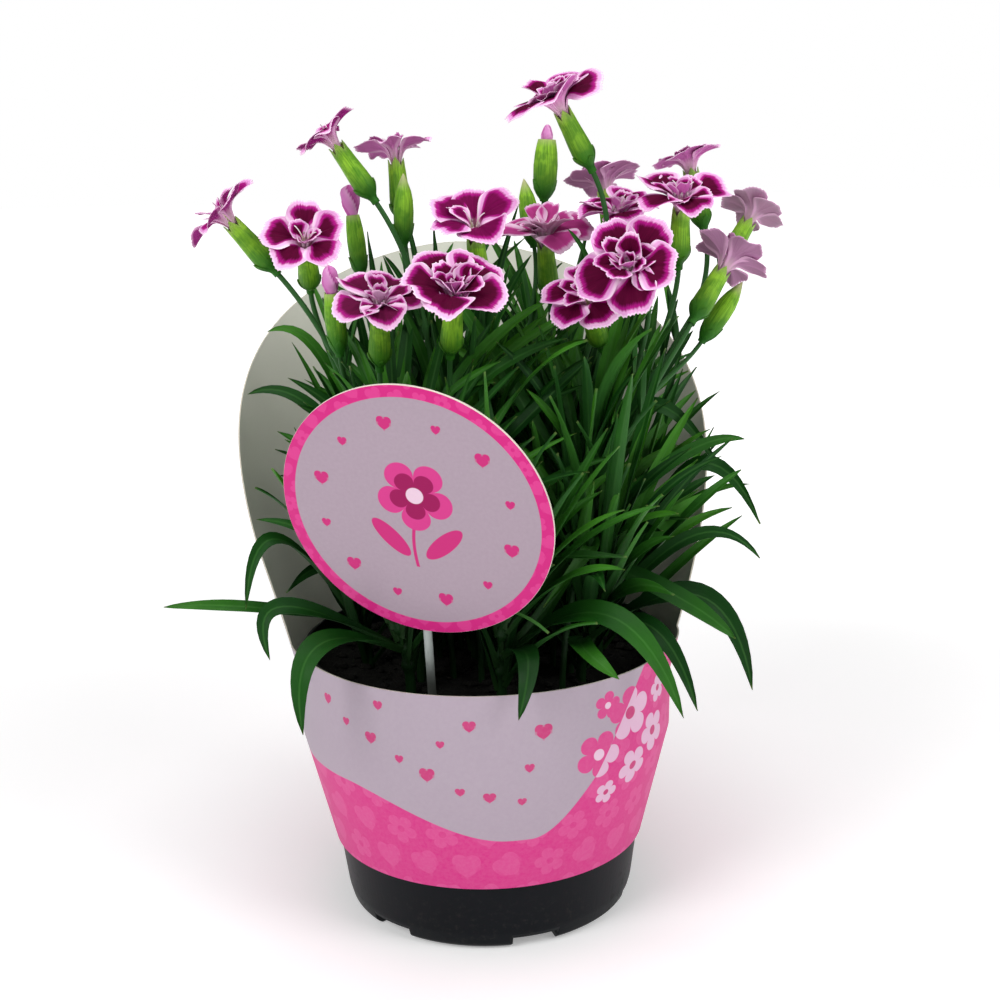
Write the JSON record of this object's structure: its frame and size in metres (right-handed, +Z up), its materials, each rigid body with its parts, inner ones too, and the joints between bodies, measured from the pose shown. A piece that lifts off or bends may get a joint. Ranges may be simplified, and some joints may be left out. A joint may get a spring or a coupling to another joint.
{
  "type": "dianthus plant",
  "caption": "Potted garden pink: narrow-leaved clump with fringed blooms on thin stems, in a nursery pot with a high-backed board sleeve and a round card on a stick.",
  "frame": {"origin": "centre of the flat disc under the pot, where it stands", "axes": "+Z up along the pot's axis, -Y towards the front where the card faces, +X to the viewer's right"},
  "size_m": [0.1979, 0.1803, 0.2671],
  "materials": {
    "pot": "thin moulded black plastic, soft sheen",
    "soil": "dark moist peat compost",
    "sleeve": "thin printed board, pink and pale lilac outside, grey-beige unprinted inside",
    "card": "printed board, pale face with a pink border",
    "stick": "white plastic",
    "stem": "yellow-green stems and calyces, slightly waxy",
    "petal": "velvety crimson-purple with a pale pink toothed edge",
    "leaf": "mid to dark green narrow leaves, soft waxy sheen"
  },
  "bodies": {
    "root": {"pot": "pot", "soil": "soil", "sleeve": "sleeve", "card": "card", "card_stick": "stick", "stem_01": "stem", "stem_02": "stem", "stem_03": "stem", "stem_04": "stem", "stem_05": "stem", "stem_06": "stem", "stem_08": "stem", "stem_09": "stem", "stem_10": "stem", "stem_11": "stem", "stem_12": "stem", "stem_13": "stem", "stem_14": "stem", "stem_15": "stem", "stem_16": "stem", "stem_17": "stem", "stem_18": "stem", "stem_19": "stem", "stem_20": "stem", "bloom_01": "petal", "bloom_02": "petal", "bloom_03": "petal", "bloom_04": "petal", "bloom_05": "petal", "bloom_08": "petal", "bloom_09": "petal", "bloom_10": "petal", "bloom_11": "petal", "bloom_13": "petal", "bloom_14": "petal", "bloom_15": "petal", "bloom_16": "petal", "bloom_17": "petal", "bloom_18": "petal", "bloom_19": "petal", "bloom_20": "petal", "bud_tip_06": "petal", "bud_tip_12": "petal", "bud_tip_07": "petal", "leafy_shoot_01": "leaf", "leafy_shoot_02": "leaf", "leafy_shoot_03": "leaf", "leafy_shoot_04": "leaf", "leafy_shoot_05": "leaf", "leafy_shoot_06": "leaf", "leafy_shoot_07": "leaf", "leafy_shoot_08": "leaf", "leafy_shoot_09": "leaf", "leafy_shoot_10": "leaf", "leafy_shoot_11": "leaf", "leafy_shoot_12": "leaf", "leafy_shoot_13": "leaf", "leafy_shoot_14": "leaf"}
  },
  "joints": []
}
